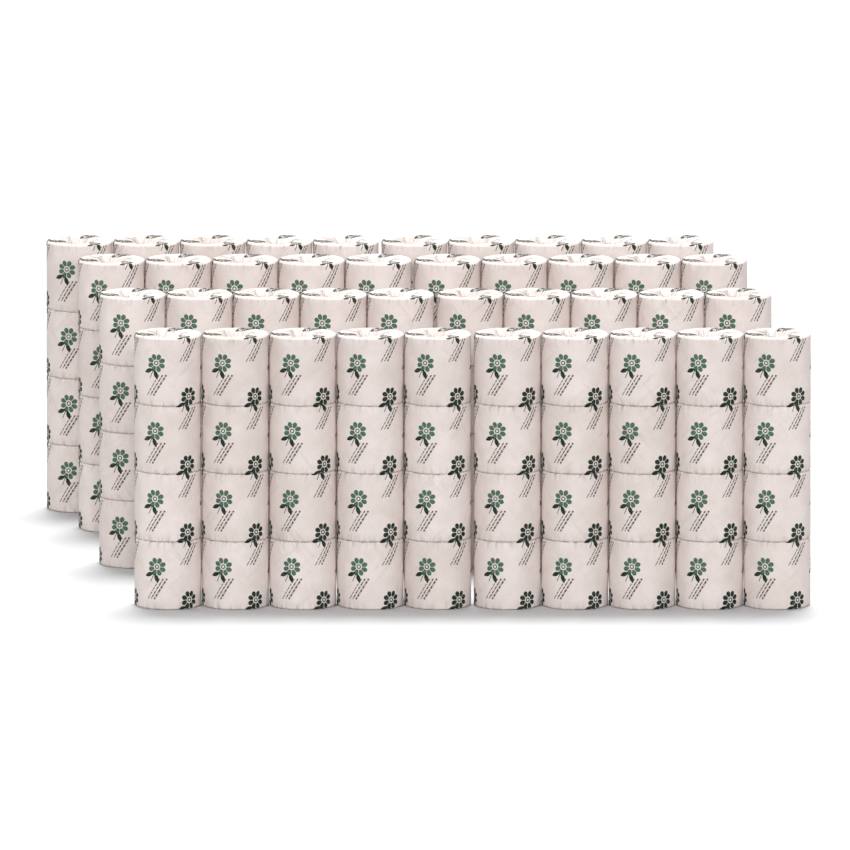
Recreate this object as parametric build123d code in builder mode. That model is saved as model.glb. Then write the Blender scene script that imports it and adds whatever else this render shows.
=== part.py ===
"""Case pack of toilet rolls, each roll sealed in its own printed paper wrapper.

The rolls stand on end in four free-standing walls, one behind the other. A wall is two blocks of five
stacks with a narrow gap between the blocks. A stack is four rolls high, so the pack holds 160 rolls. Each
wall behind the front one starts further left.

A wrapped roll is one closed solid: the wound tissue, its core and the wrapper are packed tight, and none
of the inside can be seen. The wrapper's ends are folded over the roll's ends and tucked into the mouths of
the core, which leaves a flat ring to stand on with a shallow funnel in the middle of it. One stack of four
rolls is one node.

Millimetres. +X runs along the walls, +Y goes from the front wall to the back wall, +Z is up. The origin is
on the floor, at the middle of the whole pack's footprint.
"""

import os

from build123d import *

# One wrapped roll
sheet_width = 101.6  # width of the tissue, which is the bare roll's height
end_fold = 1.0  # what the folded wrapper adds at each end
roll_diameter = 101.0
rim_radius = 4.0  # soft outer edge at each end
core_bore = 41.0  # mouth that the wrapper is tucked into
mouth_radius = 3.0  # soft edge of that mouth
tuck_depth = 13.0
tuck_floor_diameter = 20.0
tuck_floor_radius = 4.0  # soft corner round the funnel's floor

# How the rolls are set out
rolls_per_stack = 4
stacks_per_block = 5
blocks_per_wall = 2
stack_clearance = 0.4  # between the rolls of two stacks that stand side by side
block_gap = 4.0  # the same between two blocks

# Each wall's name, its clear gap to the wall in front of it, and how far left of the front wall it starts
walls = [
    ("front_wall", 0.0, 0.0),
    ("second_wall", 250.0, 56.0),
    ("third_wall", 205.0, 90.0),
    ("back_wall", 70.0, 140.0),
]

roll_radius = roll_diameter / 2
roll_height = sheet_width + 2 * end_fold
stack_pitch = roll_diameter + stack_clearance
block_pitch = stacks_per_block * stack_pitch + block_gap - stack_clearance
stack_places = [
    block * block_pitch + place * stack_pitch
    for block in range(blocks_per_wall)
    for place in range(stacks_per_block)
]


def roll_section():
    """Half of the roll's section, on the XZ plane from the axis outwards, with its soft corners."""
    with BuildSketch(Plane.XZ) as section:
        with BuildLine():
            Polyline(
                (0, tuck_depth),
                (tuck_floor_diameter / 2, tuck_depth),
                (core_bore / 2, 0),
                (roll_radius, 0),
                (roll_radius, roll_height),
                (core_bore / 2, roll_height),
                (tuck_floor_diameter / 2, roll_height - tuck_depth),
                (0, roll_height - tuck_depth),
                close=True,
            )
        make_face()
        across = section.vertices().group_by(Axis.X)  # axis, funnel floors, mouths, outer corners
        fillet(across[3], rim_radius)
        fillet(across[2], mouth_radius)
        fillet(across[1], tuck_floor_radius)
    return section.sketch


def set_out_walls():
    """Each wall's name and the middle of its first roll, with the front wall's first roll at (0, 0)."""
    middle_y = 0.0
    for number, (name, clear_gap, shift_left) in enumerate(walls):
        if number > 0:
            middle_y += roll_diameter + clear_gap
        yield name, -shift_left, middle_y


def write_stack(name, x, y):
    """Writes one stack: separate solids, each standing on the flat ring of the one below it."""
    tiers = [
        wrapped_roll.part.moved(Location((x, y, tier * roll_height))) for tier in range(rolls_per_stack)
    ]
    stack = Compound(label=name, children=tiers)
    export_step(stack, f"parts/{name}.step")


with BuildPart() as wrapped_roll:
    add(roll_section())
    revolve(axis=Axis.Z)
wrapped_roll.part.label = "wrapped_roll"

first_rolls = list(set_out_walls())
leftmost = min(x for _, x, _ in first_rolls)
rightmost = max(x for _, x, _ in first_rolls) + stack_places[-1]
furthest = max(y for _, _, y in first_rolls)
middle_x = (leftmost + rightmost) / 2
middle_y = furthest / 2

os.makedirs("parts", exist_ok=True)
for wall_name, first_x, wall_y in first_rolls:
    for number, place in enumerate(stack_places, start=1):
        write_stack(f"{wall_name}_stack_{number:02d}", first_x + place - middle_x, wall_y - middle_y)

print("one roll, cubic mm:", round(wrapped_roll.part.volume), "height:", roll_height, "pitch:", stack_pitch)
print("first rolls at:", [(n, round(x - middle_x, 2), round(y - middle_y, 2)) for n, x, y in first_rolls])
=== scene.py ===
# %% [markdown]
# # A case pack of wrapped toilet rolls
#
# The real thing is 160 toilet rolls, each one sealed in thin printed paper, set out as four walls of ten
# stacks. This lesson models one wrapped roll well, copies it to every place, and then makes the paper, the
# print and the light. The CAD frame already holds every roll's size and place, so no roll is placed by eye.

# %% Load the fixed frame
import math
import random

import bmesh
import bpy
from mathutils import Matrix, Vector


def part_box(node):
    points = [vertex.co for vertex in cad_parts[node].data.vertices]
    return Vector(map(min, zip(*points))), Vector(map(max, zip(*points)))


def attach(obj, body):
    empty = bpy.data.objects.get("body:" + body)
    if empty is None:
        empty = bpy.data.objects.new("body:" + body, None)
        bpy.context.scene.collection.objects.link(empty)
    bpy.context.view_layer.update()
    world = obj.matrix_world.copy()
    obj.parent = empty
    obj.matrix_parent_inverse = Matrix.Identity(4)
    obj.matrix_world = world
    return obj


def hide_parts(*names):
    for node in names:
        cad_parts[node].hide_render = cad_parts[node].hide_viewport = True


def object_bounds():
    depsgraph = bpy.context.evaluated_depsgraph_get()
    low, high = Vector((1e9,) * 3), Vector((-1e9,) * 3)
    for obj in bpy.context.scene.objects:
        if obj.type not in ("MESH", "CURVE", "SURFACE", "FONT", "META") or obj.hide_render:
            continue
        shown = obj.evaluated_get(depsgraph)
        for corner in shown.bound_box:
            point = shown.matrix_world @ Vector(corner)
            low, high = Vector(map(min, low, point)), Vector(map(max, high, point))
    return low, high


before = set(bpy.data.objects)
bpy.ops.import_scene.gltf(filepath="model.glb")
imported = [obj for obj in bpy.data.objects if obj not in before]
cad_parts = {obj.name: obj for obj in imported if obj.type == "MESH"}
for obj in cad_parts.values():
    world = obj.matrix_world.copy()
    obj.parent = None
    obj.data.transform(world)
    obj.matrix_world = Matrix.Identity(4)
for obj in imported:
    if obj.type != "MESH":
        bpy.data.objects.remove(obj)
cad_low, cad_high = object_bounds()
bpy.ops.object.select_all(action="DESELECT")
print("stacks in the frame:", len(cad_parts))

# %% [markdown]
# ## The sizes that everything follows
#
# A stack's box in the frame gives the roll: the box is one roll wide and four rolls tall. The few sizes
# that belong to the wrapper alone, such as how deep its folds are, are named in metres where they are first
# used.

# %% Sizes of a roll, from the frame
MM = 0.001
TIERS = 4
first_low, first_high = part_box("front_wall_stack_01")
roll_radius = (first_high.x - first_low.x) / 2
roll_height = (first_high.z - first_low.z) / TIERS
print("roll", round(2 * roll_radius / MM, 1), "mm across,", round(roll_height / MM, 1), "mm tall")

# %% [markdown]
# ## The camera comes first
#
# The walls behind the front one look as large as it does, so the camera stands far off with a long lens. A
# 1600 mm lens about 57 m away gives that flat look. It looks down by ten degrees, which shows each top as a
# thin strip.

# %% Camera
LENS_MM = 1600.0
LOOK_DOWN = math.radians(10.0)
FIELD_WIDTH = 1.277  # metres that the camera takes in, side to side, at the front wall
AIM = Vector((-0.0014, 0.0, 0.201))  # what it looks at, near the middle of the pack
SENSOR_WIDTH = 36.0

camera_data = bpy.data.cameras.new("camera")
camera_data.lens = LENS_MM
camera_data.sensor_width = SENSOR_WIDTH
camera = bpy.data.objects.new("camera", camera_data)
bpy.context.scene.collection.objects.link(camera)
bpy.context.scene.camera = camera
away = FIELD_WIDTH * LENS_MM / SENSOR_WIDTH
backwards = Vector((0.0, -math.cos(LOOK_DOWN), math.sin(LOOK_DOWN)))
camera.location = AIM + backwards * (away - cad_low.y / math.cos(LOOK_DOWN))
camera.rotation_euler = (math.pi / 2 - LOOK_DOWN, 0.0, 0.0)
camera_data.clip_start = 1.0
camera_data.clip_end = 3 * away
print("camera", round(camera.location.length, 1), "m away")

# %% [markdown]
# ## Floor and light
#
# The rolls stand on a white sweep under a white sky, which gives the flat, nearly shadowless light of a
# catalogue. Soft suns add what the sky lacks: one from each side, which reaches in between the rolls, one
# from the camera's side, and one overhead and a little behind, which makes the tops bright and lays a short
# shadow in front of each wall. Three low fills light the ends and the back of the pack, so that it looks
# right from every side.


# %% Lamps
def soft_sun(name, strength, softness, azimuth, elevation, colour):
    """A sun at an azimuth (0 is the camera's side, 90 is the right) and an elevation, in degrees."""
    data = bpy.data.lights.new(name, "SUN")
    data.energy = strength
    data.angle = math.radians(softness)
    data.color = colour
    lamp = bpy.data.objects.new(name, data)
    bpy.context.scene.collection.objects.link(lamp)
    side, up = math.radians(azimuth), math.radians(elevation)
    towards = Vector((math.sin(side) * math.cos(up), -math.cos(side) * math.cos(up), math.sin(up)))
    lamp.rotation_euler = towards.to_track_quat("Z", "Y").to_euler()
    return lamp


WARM_WHITE, WHITE = (1.0, 0.99, 0.98), (1.0, 1.0, 1.0)
LAMPS = (  # name, strength, softness, azimuth, elevation, colour
    ("left_light", 0.78, 16.0, -28.0, 15.0, WARM_WHITE),
    ("right_light", 0.76, 16.0, 28.0, 15.0, WARM_WHITE),
    ("front_light", 1.03, 8.0, 0.0, 14.0, WARM_WHITE),
    ("top_light", 3.3, 18.0, 174.0, 76.0, WHITE),
    ("left_fill", 0.9, 16.0, -105.0, 13.0, WHITE),
    ("right_fill", 0.9, 16.0, 105.0, 13.0, WHITE),
    ("back_fill", 0.7, 16.0, 180.0, 13.0, WHITE),
)
for lamp_facts in LAMPS:
    soft_sun(*lamp_facts)

# %% [markdown]
# ## Shader arithmetic that reads like arithmetic
#
# A pattern such as a printed leaf is a formula. Writing it as `width - distance` is clearer than wiring
# boxes, so this class wraps one node's output and turns Python's operators into Math nodes. Every other
# node comes from `Amount.node`.


# %% The Amount class
class Amount:
    """One output socket of a node tree, with plain arithmetic on it."""

    def __init__(self, tree, socket):
        self.tree = tree
        self.socket = socket

    @staticmethod
    def node(tree, kind, settings=None, sockets=None, output=0):
        """Adds a node, gives it its settings first and then its sockets, and wraps one output."""
        made = tree.nodes.new(kind)
        for name, value in (settings or {}).items():
            setattr(made, name, value)
        for name, value in (sockets or {}).items():
            if isinstance(value, Amount):
                tree.links.new(value.socket, made.inputs[name])
            else:
                made.inputs[name].default_value = value
        return Amount(tree, made.outputs[output]) if made.outputs else made

    def maths(self, operation, other=None, clamped=False):
        """A Math node on this amount, and on a second one if the operation takes two."""
        sockets = {0: self} if other is None else {0: self, 1: other}
        return Amount.node(
            self.tree, "ShaderNodeMath", {"operation": operation, "use_clamp": clamped}, sockets
        )

    def reflected(self, operation, first):
        """first OPERATION self, where first is a plain number."""
        return Amount.node(self.tree, "ShaderNodeMath", {"operation": operation}, {0: first, 1: self})

    def __add__(self, other):
        return self.maths("ADD", other)

    def __radd__(self, other):
        return self.reflected("ADD", other)

    def __sub__(self, other):
        return self.maths("SUBTRACT", other)

    def __rsub__(self, other):
        return self.reflected("SUBTRACT", other)

    def __mul__(self, other):
        return self.maths("MULTIPLY", other)

    def __rmul__(self, other):
        return self.reflected("MULTIPLY", other)

    def __truediv__(self, other):
        return self.maths("DIVIDE", other)

    def __rtruediv__(self, other):
        return self.reflected("DIVIDE", other)

    def __abs__(self):
        return self.maths("ABSOLUTE")

    def soft_step(self, width):
        """0 where this is well below zero, 1 where it is well above, and a soft edge of that width."""
        return (self / width + 0.5).maths("MAXIMUM", 0.0).maths("MINIMUM", 1.0)


print("besides arithmetic, Amount has:", [name for name in vars(Amount) if not name.startswith("_")])

# %% [markdown]
# ## Colours and materials
#
# A shader wants linear values, while a colour is usually chosen as a screen shows it, so one helper turns
# the second into the first. Another starts an empty material, and the last mixes two colours, because a
# Math node would turn them grey.


# %% Colours and materials
def from_screen(red, green, blue):
    """A colour as a screen shows it, 0 to 255, as the linear values that a shader wants."""
    linear = [c / 255 / 12.92 if c <= 10 else ((c / 255 + 0.055) / 1.055) ** 2.4 for c in (red, green, blue)]
    return (*linear, 1.0)


def fresh_material(name):
    """An empty node tree, its Principled shader and the material."""
    material = bpy.data.materials.new(name)
    material.use_nodes = True
    tree = material.node_tree
    tree.nodes.clear()
    surface = Amount.node(tree, "ShaderNodeBsdfPrincipled")
    Amount.node(tree, "ShaderNodeOutputMaterial", sockets={"Surface": surface})
    return material, tree, surface.socket.node


def mixed_colour(tree, share, first, second):
    """first where share is 0 and second where it is 1; either may be a colour or an Amount."""
    sockets = {0: share, 6: first, 7: second}
    return Amount.node(tree, "ShaderNodeMix", {"data_type": "RGBA"}, sockets, output=2)


print("screen grey 128 as the shader wants it:", round(from_screen(128, 128, 128)[0], 3))

# %% [markdown]
# ## A floor that looks white but throws little light
#
# A white floor throws so much light back up that the front wall would shine, while the walls behind it,
# which see little of the floor, stay dull. The Light Path node tells the rays that an eye sees by from the
# light that only bounces about: the eye sees a white floor, and the bouncing light meets a dark one.


# %% Floor
FLOOR_SIZE = 400.0
FLOOR_SEEN = (0.665, 0.675, 0.685, 1.0)
FLOOR_BOUNCE = (0.16, 0.16, 0.16, 1.0)


def share_seen(tree):
    """1 for rays that an eye sees by, directly, in gloss or through glass, and 0 for bouncing light."""
    seen = Amount.node(tree, "ShaderNodeLightPath", output="Is Camera Ray")
    for ray in ("Is Glossy Ray", "Is Transmission Ray"):
        seen = seen.maths("MAXIMUM", Amount.node(tree, "ShaderNodeLightPath", output=ray))
    return seen


bpy.ops.mesh.primitive_plane_add(size=FLOOR_SIZE, location=(0.0, 0.0, 0.0))
floor = bpy.context.object
floor.name = "floor"
floor_material, floor_tree, floor_shader = fresh_material("white_sweep")
floor_colour = mixed_colour(floor_tree, share_seen(floor_tree), FLOOR_BOUNCE, FLOOR_SEEN)
floor_tree.links.new(floor_colour.socket, floor_shader.inputs["Base Color"])
floor_shader.inputs["Roughness"].default_value = 0.9
floor_shader.inputs["Specular IOR Level"].default_value = 0.1
floor.data.materials.append(floor_material)
print("floor:", FLOOR_SIZE, "m across")

# %% [markdown]
# ## The sky
#
# An even white sky fills the shadows. Its light is kept low, so that the suns shape the rolls, but the eye
# sees plain white behind the walls, because the same share of rays that see the floor white see the sky at
# its full strength.

# %% Sky
SKY_STRENGTH = 0.28

world = bpy.data.worlds.new("studio")
bpy.context.scene.world = world
world.use_nodes = True
sky = world.node_tree
sky.nodes.clear()
sky_strength = share_seen(sky) * (1.0 - SKY_STRENGTH) + SKY_STRENGTH
sky_light = Amount.node(
    sky, "ShaderNodeBackground", sockets={"Color": (1.0, 1.0, 1.0, 1.0), "Strength": sky_strength}
)
Amount.node(sky, "ShaderNodeOutputWorld", sockets={"Surface": sky_light})
bpy.context.scene.view_settings.view_transform = "Standard"
print("sky: strength", SKY_STRENGTH, "on the rolls, 1 to the eye")

# %% [markdown]
# ## Modelling one wrapped roll
#
# A wrapped roll is a can shape: a straight side, a soft rim, a flat ring at each end, and a shallow funnel
# where the paper's ends are tucked into the cardboard core. It could be spun from a profile, but starting
# with a cylinder keeps its parts named by how they are made: subdivide the side, bevel the rims, then inset
# each end face ring by ring. Everything is kept as rings and spokes, so that any spot can be found again as
# (ring, spoke).

# %% Edit-mode helpers
SPOKES = 88
SIDE_CUTS = 5
RIM_RADIUS = 3.2 * MM
RIM_SEGMENTS = 3
TOUCH = 1e-6  # two places nearer than this count as one
ON_SIDE = 0.05 * MM  # a radius this near the roll's own counts as its side
# Rings of the end, from the rim inwards: (radius, how far below the end's plane)
END_RINGS = [
    (42.0 * MM, 0.0),
    (34.0 * MM, 0.0),
    (26.5 * MM, 0.1 * MM),
    (22.4 * MM, 0.9 * MM),
    (19.6 * MM, 3.2 * MM),
    (16.4 * MM, 6.6 * MM),
    (11.6 * MM, 10.6 * MM),
    (5.6 * MM, 12.4 * MM),
]


def choose(kind, wanted):
    """In edit mode, selects the verts, edges or faces that wanted says yes to, and nothing else."""
    bpy.context.tool_settings.mesh_select_mode = (kind == "verts", kind == "edges", kind == "faces")
    shape = bmesh.from_edit_mesh(bpy.context.edit_object.data)
    for group in (shape.verts, shape.edges, shape.faces):
        for item in group:
            item.select = False
    for item in getattr(shape, kind):
        if wanted(item):
            item.select_set(True)
    shape.select_flush_mode()
    bmesh.update_edit_mesh(bpy.context.edit_object.data)


def upright(edge):
    return abs(edge.verts[0].co.z - edge.verts[1].co.z) > roll_height / 2


def on_end_plane(edge):
    heights = [v.co.z for v in edge.verts]
    return max(heights) < TOUCH or min(heights) > roll_height - TOUCH


print("each end goes in by", len(END_RINGS), "rings, down to", round(END_RINGS[-1][1] / MM, 1), "mm")


# %% [markdown]
# ## The can: side, rims and ends
#
# The side is cut into bands, so that it can dent later. Bevelling the rims rounds them as paper rounds the
# edge of a roll, and each end face is inset ring by ring, sinking as it nears the core. Poke closes the
# last face at the middle, where the tucked paper meets.

# %% The can: side, rims and ends
bpy.ops.mesh.primitive_cylinder_add(
    vertices=SPOKES,
    radius=roll_radius,
    depth=roll_height,
    end_fill_type="NGON",
    location=(0, 0, roll_height / 2),
)
roll = bpy.context.object
roll.name = "wrapped_roll"
bpy.ops.object.transform_apply(location=True, rotation=False, scale=False)
bpy.ops.object.mode_set(mode="EDIT")
choose("edges", upright)
bpy.ops.mesh.subdivide(number_cuts=SIDE_CUTS)
choose("edges", on_end_plane)
bpy.ops.mesh.bevel(offset=RIM_RADIUS, segments=RIM_SEGMENTS, affect="EDGES")
for facing in (1, -1):
    choose("faces", lambda face: len(face.verts) > 4 and face.normal.z * facing > 0.9)
    radius, depth = roll_radius - RIM_RADIUS, 0.0
    for next_radius, next_depth in END_RINGS:
        bpy.ops.mesh.inset(thickness=radius - next_radius, depth=depth - next_depth, use_even_offset=True)
        radius, depth = next_radius, next_depth
    bpy.ops.mesh.poke()
bpy.ops.object.mode_set(mode="OBJECT")
print("can:", len(roll.data.vertices), "vertices,", len(roll.data.polygons), "faces")

# %% [markdown]
# ## Finding every vertex again as ring and spoke
#
# The paper runs in one sheet from the middle of the bottom, up the side, to the middle of the top. Sorting
# the rings along that way gives each one a number and its distance along the paper, which the print needs
# later on.


# %% Rings in the order of the paper
def paper_order(radius, height):
    """A sort key that follows the paper from the bottom's middle, up the side, to the top's middle."""
    if radius > roll_radius - ON_SIDE:
        return (1, height)
    return (0, radius) if height < roll_height / 2 else (2, -radius)


def rounded_place(vertex):
    """(radius, height) of a vertex, rounded so that all of one ring agree."""
    return round(math.hypot(vertex.co.x, vertex.co.y), 5), round(vertex.co.z, 5)


rings = sorted({rounded_place(v) for v in roll.data.vertices}, key=lambda place: paper_order(*place))
ring_number = {place: number for number, place in enumerate(rings)}
step = 2 * math.pi / SPOKES
at = {}  # (ring, spoke): vertex index
for vertex in roll.data.vertices:
    ring = ring_number[rounded_place(vertex)]
    at[ring, round(math.atan2(vertex.co.y, vertex.co.x) / step) % SPOKES] = vertex.index
paper_length = [0.0]
for (r0, z0), (r1, z1) in zip(rings, rings[1:]):
    paper_length.append(paper_length[-1] + math.hypot(r1 - r0, z1 - z0))
side_rings = [n for n, (radius, _) in enumerate(rings) if radius > roll_radius - ON_SIDE]
print(len(rings), "rings; the side is rings", side_rings[0], "to", side_rings[-1])

# %% [markdown]
# ## The wrap map
#
# The print has to follow the paper over the rim and into the folds, so it can't be placed by the shape's
# own coordinates. This map holds, in metres, how far round the roll and how far along the paper each corner
# is. It starts at the wrapper's glued seam, which faces away from the front.

# %% UV map of the flat paper
SEAM_SPOKE = round(math.radians(62.0) / step)
spoke_of = {index: key for key, index in at.items()}


def spokes_from_seam(spoke):
    return (spoke - SEAM_SPOKE) % SPOKES


wrap_map = roll.data.uv_layers.new(name="wrap")
middles = (0, len(rings) - 1)
for face in roll.data.polygons:
    places = [spoke_of[i] for i in face.vertices]
    rounds = [spokes_from_seam(spoke) for ring, spoke in places if ring not in middles]
    crosses_seam = max(rounds) - min(rounds) > SPOKES / 2
    for corner, (ring, spoke) in zip(face.loop_indices, places):
        along = spokes_from_seam(spoke) if ring not in middles else sum(rounds) / len(rounds)
        if crosses_seam and along < SPOKES / 2:
            along += SPOKES
        height = paper_length[ring] - paper_length[side_rings[0]] + rings[side_rings[0]][1]
        wrap_map.data[corner].uv = (along * step * roll_radius, height)
print("seam at spoke", SEAM_SPOKE)

# %% [markdown]
# ## Folding the ends
#
# Where the paper is gathered over an end it lies in overlapping pleats: each one climbs from a valley to a
# ridge, and drops sharply to the next. The spokes are shared out among pleats of uneven width. Within a
# pleat each spoke sinks less than the one before and leans further round, so that its ridge nearly covers
# the next valley. The moves are grouped by amount, because one operator call can then move every vertex
# that goes the same way.

# %% Pleats
PLEAT_WIDTHS = (3, 4, 4, 5, 6)
PLEAT_DEPTHS = (0.6 * MM, 0.9 * MM, 1.3 * MM, 1.7 * MM)
LEAN = 0.8  # of a spoke's step, at a ridge
TWIST = math.radians(26.0)  # how far the core's paper is wound round
TWIST_STARTS = 40.0 * MM  # the radius at which the winding begins
TWIST_CURVE = 1.5
FUNNEL_RADIUS = 18.0 * MM
RIM_FOLD, EDGE_FOLD, FUNNEL_FOLD = 0.3, 0.7, 0.6  # shares of the fold at the rim, beside it and in the funnel
fold_luck = random.Random(11)


def move_together(amounts, operate):
    """Calls operate(amount) once for each amount, with the vertices that amounts gives it selected."""
    groups = {}
    for index, amount in amounts.items():
        groups.setdefault(round(amount, 7), set()).add(index)
    for amount, members in sorted(groups.items()):
        if abs(amount) > 1e-7:
            choose("verts", lambda vertex: vertex.index in members)
            operate(amount)


def turn_round_axis(angle):
    """With no window open the operator turns the other way, so the angle's sign is changed here."""
    bpy.ops.transform.rotate(value=-angle, orient_axis="Z", center_override=(0.0, 0.0, 0.0))


def pleats_of_one_end():
    """For each spoke, how far up its pleat it is, 0 in the valley to 1 on the ridge, and its depth."""
    spokes = []
    while len(spokes) < SPOKES:
        width = fold_luck.choice(PLEAT_WIDTHS)
        if SPOKES - len(spokes) - width < min(PLEAT_WIDTHS):
            width = SPOKES - len(spokes)
        depth = fold_luck.choice(PLEAT_DEPTHS)
        spokes += [(k / (width - 1), depth) for k in range(width)]
    return spokes


def ring_share(ring):
    """How much of the fold a ring takes: none on the side, all of it on the end, less in the funnel."""
    radius, _ = rings[ring]
    if ring in side_rings:
        return 0.0
    if radius > roll_radius - RIM_RADIUS - 0.1 * MM:
        return RIM_FOLD * (roll_radius - radius) / RIM_RADIUS
    if radius > FUNNEL_RADIUS:
        return 1.0 if radius < TWIST_STARTS else EDGE_FOLD
    return FUNNEL_FOLD


sink, lean, twist = {}, {}, {}
for end_rings, downwards in ((range(1, side_rings[0]), 1), (range(side_rings[-1] + 1, len(rings) - 1), -1)):
    folds = pleats_of_one_end()
    for ring in end_rings:
        radius, _ = rings[ring]
        for spoke, (climb, depth) in enumerate(folds):
            vertex = at[ring, spoke]
            sink[vertex] = downwards * depth * (1 - climb) * ring_share(ring)
            lean[vertex] = climb * LEAN * step * ring_share(ring)
            twist[vertex] = -downwards * TWIST * (1 - min(1.0, radius / TWIST_STARTS)) ** TWIST_CURVE

bpy.ops.object.mode_set(mode="EDIT")
move_together(sink, lambda amount: bpy.ops.transform.translate(value=(0.0, 0.0, amount)))
move_together(lean, turn_round_axis)
move_together(twist, turn_round_axis)
bpy.ops.object.mode_set(mode="OBJECT")
print("folded", len(sink), "vertices of the two ends")

# %% [markdown]
# ## The glued seam
#
# The wrapper's edge overlaps its start and is glued down. Next to the edge the paper steps down by its own
# thickness and the glue's, then comes back to the roll's full size. Scaling a column of vertices about the
# axis sinks it, and turning it towards the edge keeps the step sharp.

# %% Seam step
SEAM_STEP = 0.55 * MM
SEAM_FADE = 7  # spokes over which the step fades out
SEAM_LEAN = 0.82  # of a spoke's step, towards the edge


def draw_in(size):
    """Scales the selected vertices about the roll's axis, and leaves their heights alone."""
    bpy.ops.transform.resize(value=(size, size, 1.0), center_override=(0.0, 0.0, 0.0))


seam_scale, seam_turn = {}, {}
for ring in range(side_rings[0] - 1, side_rings[-1] + 2):
    for k in range(SEAM_FADE):
        vertex = at[ring, (SEAM_SPOKE + k + 1) % SPOKES]
        seam_scale[vertex] = 1 - SEAM_STEP / roll_radius * (1 - k / SEAM_FADE)
    seam_turn[at[ring, (SEAM_SPOKE + 1) % SPOKES]] = -SEAM_LEAN * step
bpy.ops.object.mode_set(mode="EDIT")
move_together(seam_scale, draw_in)
move_together(seam_turn, turn_round_axis)
bpy.ops.object.mode_set(mode="OBJECT")
print("seam step", SEAM_STEP / MM, "mm")

# %% [markdown]
# ## Copying the roll to its 160 places
#
# Each stack is four copies, each with a mesh of its own, joined into one piece. Hands set the rolls down,
# so every copy is turned a little. A number written on each copy's vertices lets its paper be a shade
# lighter or darker.

# %% Stacks
TURN_LIMIT = math.radians(2.2)
SOFT_FUNNEL = 20.0 * MM  # inside this radius an end is soft
FUNNEL_SOFTNESS = 0.6
place_luck = random.Random(5)
weights = roll.vertex_groups.new(name="softness")
for (ring, spoke), index in at.items():
    in_funnel = rings[ring][0] < SOFT_FUNNEL
    on_side = side_rings[0] < ring < side_rings[-1]
    weights.add([index], 1.0 if on_side else FUNNEL_SOFTNESS * in_funnel, "REPLACE")


def one_copy(middle, tier):
    """A copy of the roll, turned a little, that stands on the tier below it."""
    copy = roll.copy()
    copy.data = roll.data.copy()
    bpy.context.scene.collection.objects.link(copy)
    turn = Matrix.Rotation(place_luck.uniform(-TURN_LIMIT, TURN_LIMIT), 4, "Z")
    copy.matrix_world = Matrix.Translation((middle.x, middle.y, tier * roll_height)) @ turn
    tone = copy.data.attributes.new("roll_tone", "FLOAT", "POINT")
    tone.data.foreach_set("value", [place_luck.random()] * len(copy.data.vertices))
    return copy


def one_stack(node):
    """The four rolls that stand for one CAD node, as one mesh."""
    low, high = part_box(node)
    copies = [one_copy((low + high) / 2, tier) for tier in range(TIERS)]
    bpy.ops.object.select_all(action="DESELECT")
    for copy in copies:
        copy.select_set(True)
    bpy.context.view_layer.objects.active = copies[0]
    bpy.ops.object.transform_apply(location=True, rotation=True, scale=True)
    bpy.ops.object.join()
    copies[0].name = node.replace("_stack_", "_rolls_")
    return copies[0]


stacks = {node: one_stack(node) for node in sorted(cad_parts)}
bpy.data.objects.remove(roll)
print(len(stacks), "stacks of", TIERS, "rolls")

# %% [markdown]
# ## Making every roll a little different
#
# A soft roll is never a perfect can. Two Displace modifiers push the surface in by a cloudy amount. They
# read the places of the vertices in the whole pack, so no two rolls get the same dents. The middle level is
# kept high, so that the surface goes in much more than it comes out, and no roll touches the one beside it.


# %% Soft dents
def dent(piece, name, depth, level):
    """Moves the surface by depth times (cloud - level), and applies it."""
    modifier = piece.modifiers.new(name, "DISPLACE")
    modifier.texture = bpy.data.textures[name]
    modifier.texture_coords = "LOCAL"
    modifier.vertex_group = "softness"
    modifier.mid_level = level
    modifier.strength = depth
    bpy.context.view_layer.objects.active = piece
    bpy.ops.object.modifier_apply(modifier=name)


SMOOTH_BELOW = math.radians(38.0)
DENTS = {"broad_dents": (45 * MM, 0.8 * MM, 0.62), "small_dents": (15 * MM, 0.4 * MM, 0.75)}
for name, (size, _, _) in DENTS.items():
    cloud_texture = bpy.data.textures.new(name, "CLOUDS")
    cloud_texture.noise_scale = size
    cloud_texture.noise_depth = 1
for piece in stacks.values():
    for name, (_, depth, level) in DENTS.items():
        dent(piece, name, depth, level)
bpy.ops.object.select_all(action="DESELECT")
for piece in stacks.values():
    piece.select_set(True)
bpy.ops.object.shade_smooth_by_angle(angle=SMOOTH_BELOW)
triangles = sum(len(p.vertices) - 2 for piece in stacks.values() for p in piece.data.polygons)
print("triangles in all:", triangles)

# %% [markdown]
# ## The print
#
# The print repeats over the flat paper as a half-drop: every second column starts half a repeat lower. Each
# repeat has a small flower with two leaves and, below it, three slanting lines of short dashes. All of it
# is distances and soft steps on the wrap map, in millimetres.

# %% Print formulas
# Every size is in millimetres on the flat paper
REPEAT_WIDE = 52.0
REPEAT_TALL = 104.0
DASHES_LOWER = 34.0  # how far below its flower each group of dashes is
PRINT_START = (166.0, 66.0)
PRINT_EDGE = 0.35  # the softness of an inked edge
PETAL_PAIRS = 4.0
PETAL_POINTED = 0.55  # the lower, the rounder a petal's tip
PETAL_REACH, PETAL_SWELL = 8.2, 6.0  # a petal's end where two meet, and how much further its tip goes
EYE_REACH, PETAL_GAP = 5.2, 1.3
EYE_RING_RADIUS, EYE_RING_HALF = 2.7, 0.9
LINE_SPACING = 4.6
LINE_SLANT = 58.0
LINE_HALF, LINE_THINNER = 1.05, 0.3  # half a line's height, and how much less each next line has
LINE_REACH, LINE_SHIFT = 19.0, 3.0


def turned(x, y, degrees):
    """The same spot, read by axes that are turned by that angle."""
    c, s = math.cos(math.radians(degrees)), math.sin(math.radians(degrees))
    return x * c + y * s, y * c - x * s


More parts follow.
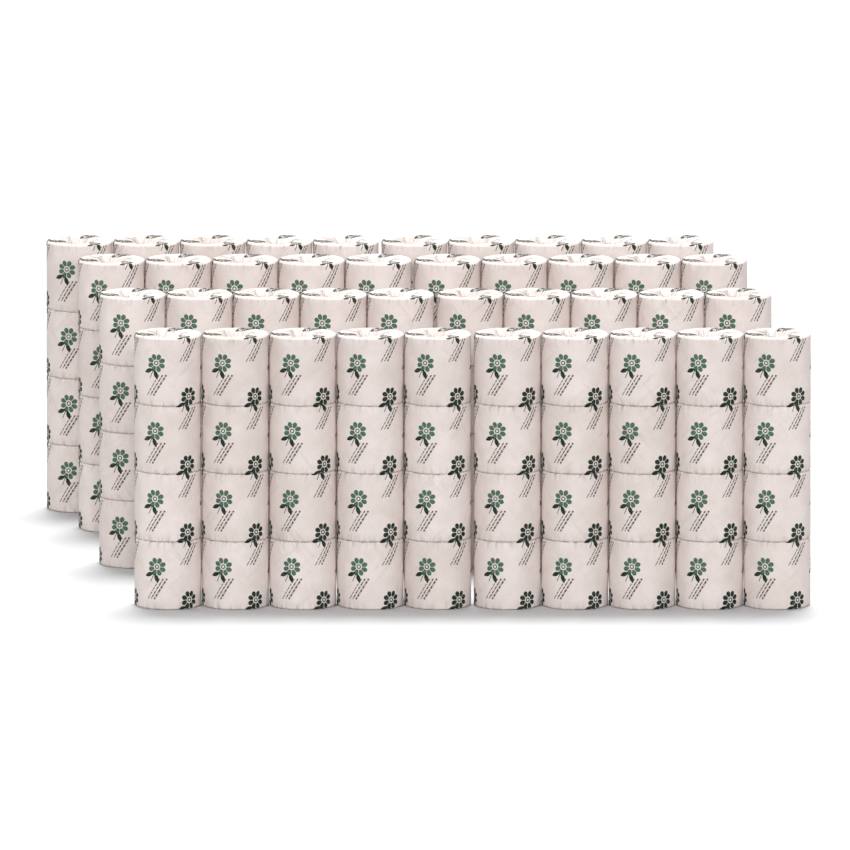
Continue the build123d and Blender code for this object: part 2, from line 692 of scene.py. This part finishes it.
def half_drop(u, v, lower):
    """x and y from the nearest repeat's middle, lower by that much, and 1 in every second column."""
    column = ((u - PRINT_START[0]) / REPEAT_WIDE + 0.5).maths("FLOOR")
    odd = column.maths("PINGPONG", 1.0)
    x = u - PRINT_START[0] - column * REPEAT_WIDE
    y = v - PRINT_START[1] + lower + odd * (REPEAT_TALL / 2)
    return x, y - (y / REPEAT_TALL + 0.5).maths("FLOOR") * REPEAT_TALL, odd


def leaf(x, y, middle, degrees, length, width):
    """A pointed leaf, length and width from its middle to its tip and its side."""
    along, across = turned(x - middle[0], y - middle[1], degrees)
    bow = 1.0 - (along / length) * (along / length)
    return (bow * width - abs(across)).soft_step(PRINT_EDGE)


def flower(x, y):
    """Eight petals round a pale middle with a small ring in it."""
    far = (x * x + y * y).maths("SQRT")
    wave = abs((y.maths("ARCTAN2", x) * PETAL_PAIRS).maths("COSINE"))
    petal = (wave.maths("POWER", PETAL_POINTED) * PETAL_SWELL + PETAL_REACH - far).soft_step(PRINT_EDGE)
    petal = petal * (far - EYE_REACH).soft_step(PRINT_EDGE) * (wave * far - PETAL_GAP).soft_step(0.5)
    return petal.maths("MAXIMUM", (EYE_RING_HALF - abs(far - EYE_RING_RADIUS)).soft_step(PRINT_EDGE))


def dashes(x, y):
    """Three lines of short uneven dashes on a slant, the first line bolder than the others."""
    along, across = turned(x, y, LINE_SLANT)
    line = (across / LINE_SPACING + 0.5).maths("FLOOR")
    half_height = LINE_HALF - line * LINE_THINNER
    bar = (half_height - abs(across - line * LINE_SPACING)).soft_step(PRINT_EDGE)
    beat = (along * 2.1 + line * 2.0).maths("SINE") + (along * 0.83 + line * 4.0).maths("SINE") * 0.8
    ends = (LINE_REACH - abs(along + line * LINE_SHIFT)).soft_step(PRINT_EDGE)
    return bar * (beat + 0.75).soft_step(0.5) * ends * (1.5 - abs(line)).soft_step(0.1)


print("one flower in every", REPEAT_WIDE, "by", REPEAT_TALL, "mm of paper")


# %% [markdown]
# ## The paper
#
# The wrapper is a thin uncoated sheet, off-white with a touch of pink, a little cloudy where the tissue
# shows through. Its crinkles are too fine to model, so they are colour and bump: soft waves, gathers that
# run in from the rims, a few slack lines across the side, and fibre. The colour of the gathers and slack
# lines is painted shade. First come the inputs that all of them read.


# %% What the paper reads
paper, paper_tree, paper_shader = fresh_material("wrapper_paper")
place = Amount.node(paper_tree, "ShaderNodeTexCoord", output="Object")
wrap = Amount.node(paper_tree, "ShaderNodeUVMap", {"uv_map": "wrap"})
u = Amount.node(paper_tree, "ShaderNodeSeparateXYZ", sockets={"Vector": wrap}, output="X") / MM
v = Amount.node(paper_tree, "ShaderNodeSeparateXYZ", sockets={"Vector": wrap}, output="Y") / MM
tone = Amount.node(paper_tree, "ShaderNodeAttribute", {"attribute_name": "roll_tone"}, output="Fac")


def noise(scale, detail, roughness=0.5):
    """Noise in the pack's own space, so that it differs from roll to roll."""
    sockets = {"Vector": place, "Scale": scale, "Detail": detail, "Roughness": roughness}
    return Amount.node(paper_tree, "ShaderNodeTexNoise", sockets=sockets)


def streaks(across, along, seed, detail):
    """Noise on the wrap map, stretched one way: across and along are how fast it changes, per mm."""
    slid = Amount.node(
        paper_tree, "ShaderNodeCombineXYZ", sockets={"X": across, "Y": along, "Z": tone * 9.0 + seed}
    )
    sockets = {"Vector": slid, "Scale": 1.0, "Detail": detail, "Roughness": 0.6}
    return Amount.node(paper_tree, "ShaderNodeTexNoise", sockets=sockets)


print("nodes that feed the paper so far:", len(paper_tree.nodes))

# %% [markdown]
# ## Folds in the paper
#
# Gathers are narrow streaks that run up and down and are strongest at a rim. Slack lines are long streaks
# on two slants, kept only in the patches where a broad noise is high. Both shape the relief, and their
# valleys are also darkened in the colour as painted shade.

# %% Gathers and slack lines
ROLL_MM = roll_height / MM
GATHER_LENGTH = 19.0  # mm that the gathers reach down the side from a rim
SLACK_SLANTS = ((3.0, 38.0), (6.0, -52.0))  # (seed, degrees)

rim_gap = (ROLL_MM / 2 - abs(v - ROLL_MM / 2)).maths("MAXIMUM", 0.0)
near_rim = (1.0 - rim_gap / GATHER_LENGTH).maths("MAXIMUM", 0.0)
gathers = (streaks(u * 0.14, v * 0.02, 0.0, 3.0) - 0.5) * near_rim * near_rim
lines = []
for seed, degrees in SLACK_SLANTS:
    along, across = turned(u, v, degrees)
    lines.append((streaks(across * 0.11, along * 0.012, seed, 2.0) - 0.63).soft_step(0.05))
slack = (lines[0] + lines[1]) * (noise(16.0, 1.0) - 0.5).soft_step(0.2)
print("gathers reach", GATHER_LENGTH, "mm of the side's", round(ROLL_MM, 1))

# %% [markdown]
# ## The colour of the sheet
#
# Two near shades of pink-white are mixed by clouds and by each roll's own tone. The folds then lean it
# towards a darker colour, which is painted shade for the light a fold keeps out, and the fibre leans it the
# same way as the paper's own grain.

# %% Sheet colour
DULL_SHEET, PALE_SHEET = from_screen(222, 210, 205), from_screen(237, 227, 224)
# A darker colour: painted shade in the folds, and the fibre's own grain
PAINTED_FOLD_SHADE_AND_FIBRE = from_screen(188, 176, 170)

clouds = (noise(38.0, 3.0) - 0.5) * 1.6 + 0.5 + (tone - 0.5) * 0.5
sheet = mixed_colour(paper_tree, clouds.maths("MINIMUM", 1.0, clamped=True), DULL_SHEET, PALE_SHEET)
fibre = (noise(700.0, 3.0) - 0.55).soft_step(0.25) * 0.2
# How far each spot leans to it: painted shade in the gathers' valleys and slack lines, plus fibre flecks
painted_shade_and_fibre_share = (gathers * -4.6).maths("MAXIMUM", 0.0) + slack * 0.14 + fibre
sheet = mixed_colour(paper_tree, painted_shade_and_fibre_share.maths("MINIMUM", 1.0), sheet, PAINTED_FOLD_SHADE_AND_FIBRE)
print("nodes with the sheet:", len(paper_tree.nodes))

# %% [markdown]
# ## The ink
#
# Flowers are pale green and deep green by turns, from one column to the next. A fine noise thins the ink,
# as on a fast, cheap print.

# %% Ink
PALE_GREEN, DEEP_GREEN, DASH_GREY = from_screen(70, 102, 86), from_screen(8, 36, 24), from_screen(54, 47, 44)
FLOWER_TURN = -24.0
LEAF_SIDE, LEAF_UP, LEAF_TURN = 6.6, -16.4, 46.0
LEAF_LENGTH, LEAF_WIDTH = 7.6, 3.3
STEM_HALF, STEM_MIDDLE, STEM_REACH = 0.55, 18.5, 7.0

worn = (0.86 + noise(260.0, 4.0) * 0.26).maths("MINIMUM", 1.0)
fx, fy, odd = half_drop(u, v, 0.0)
fx, fy = turned(fx, fy, FLOWER_TURN)
left_leaf = leaf(fx, fy, (-LEAF_SIDE, LEAF_UP), LEAF_TURN, LEAF_LENGTH, LEAF_WIDTH)
right_leaf = leaf(fx, fy, (LEAF_SIDE, LEAF_UP), -LEAF_TURN, LEAF_LENGTH, LEAF_WIDTH)
leaves = left_leaf.maths("MAXIMUM", right_leaf)
stem = (STEM_HALF - abs(fx)).soft_step(PRINT_EDGE)
stem = stem * (STEM_REACH - abs(fy + STEM_MIDDLE)).soft_step(PRINT_EDGE)
dx, dy, _ = half_drop(u, v, DASHES_LOWER)
petal_green = mixed_colour(paper_tree, odd, PALE_GREEN, DEEP_GREEN)
printed = mixed_colour(paper_tree, flower(fx, fy) * worn, sheet, petal_green)
printed = mixed_colour(paper_tree, leaves.maths("MAXIMUM", stem) * worn, printed, DEEP_GREEN)
printed = mixed_colour(paper_tree, dashes(dx, dy) * worn * 0.9, printed, DASH_GREY)
paper_tree.links.new(printed.socket, paper_shader.inputs["Base Color"])
print("nodes with the ink:", len(paper_tree.nodes))

# %% [markdown]
# ## The relief
#
# The same gathers and slack lines raise and sink the surface, over broad waves and the fibre's tooth. A
# Bump node turns that height into shading. The paper is dull, so its roughness is high and it has little
# gloss.

# %% Relief and finish
BUMP_DEPTH = 1.2 * MM

height = noise(60.0, 4.0, 0.55) * 1.2 - slack * 0.3 + gathers * 5.5 + noise(420.0, 3.0) * 0.2
bump = Amount.node(
    paper_tree, "ShaderNodeBump", sockets={"Strength": 0.7, "Distance": BUMP_DEPTH, "Height": height}
)
paper_tree.links.new(bump.socket, paper_shader.inputs["Normal"])
paper_shader.inputs["Roughness"].default_value = 0.82
paper_shader.inputs["Specular IOR Level"].default_value = 0.3
print("paper nodes:", len(paper_tree.nodes))

# %% [markdown]
# ## Handing the stacks to the frame
#
# Each stack stands for its CAD node, wears the paper, and rides on the pack's one body.

# %% Ride and finish
for node, piece in stacks.items():
    piece.data.materials.clear()
    piece.data.materials.append(paper)
    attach(piece, "root")
    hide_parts(node)
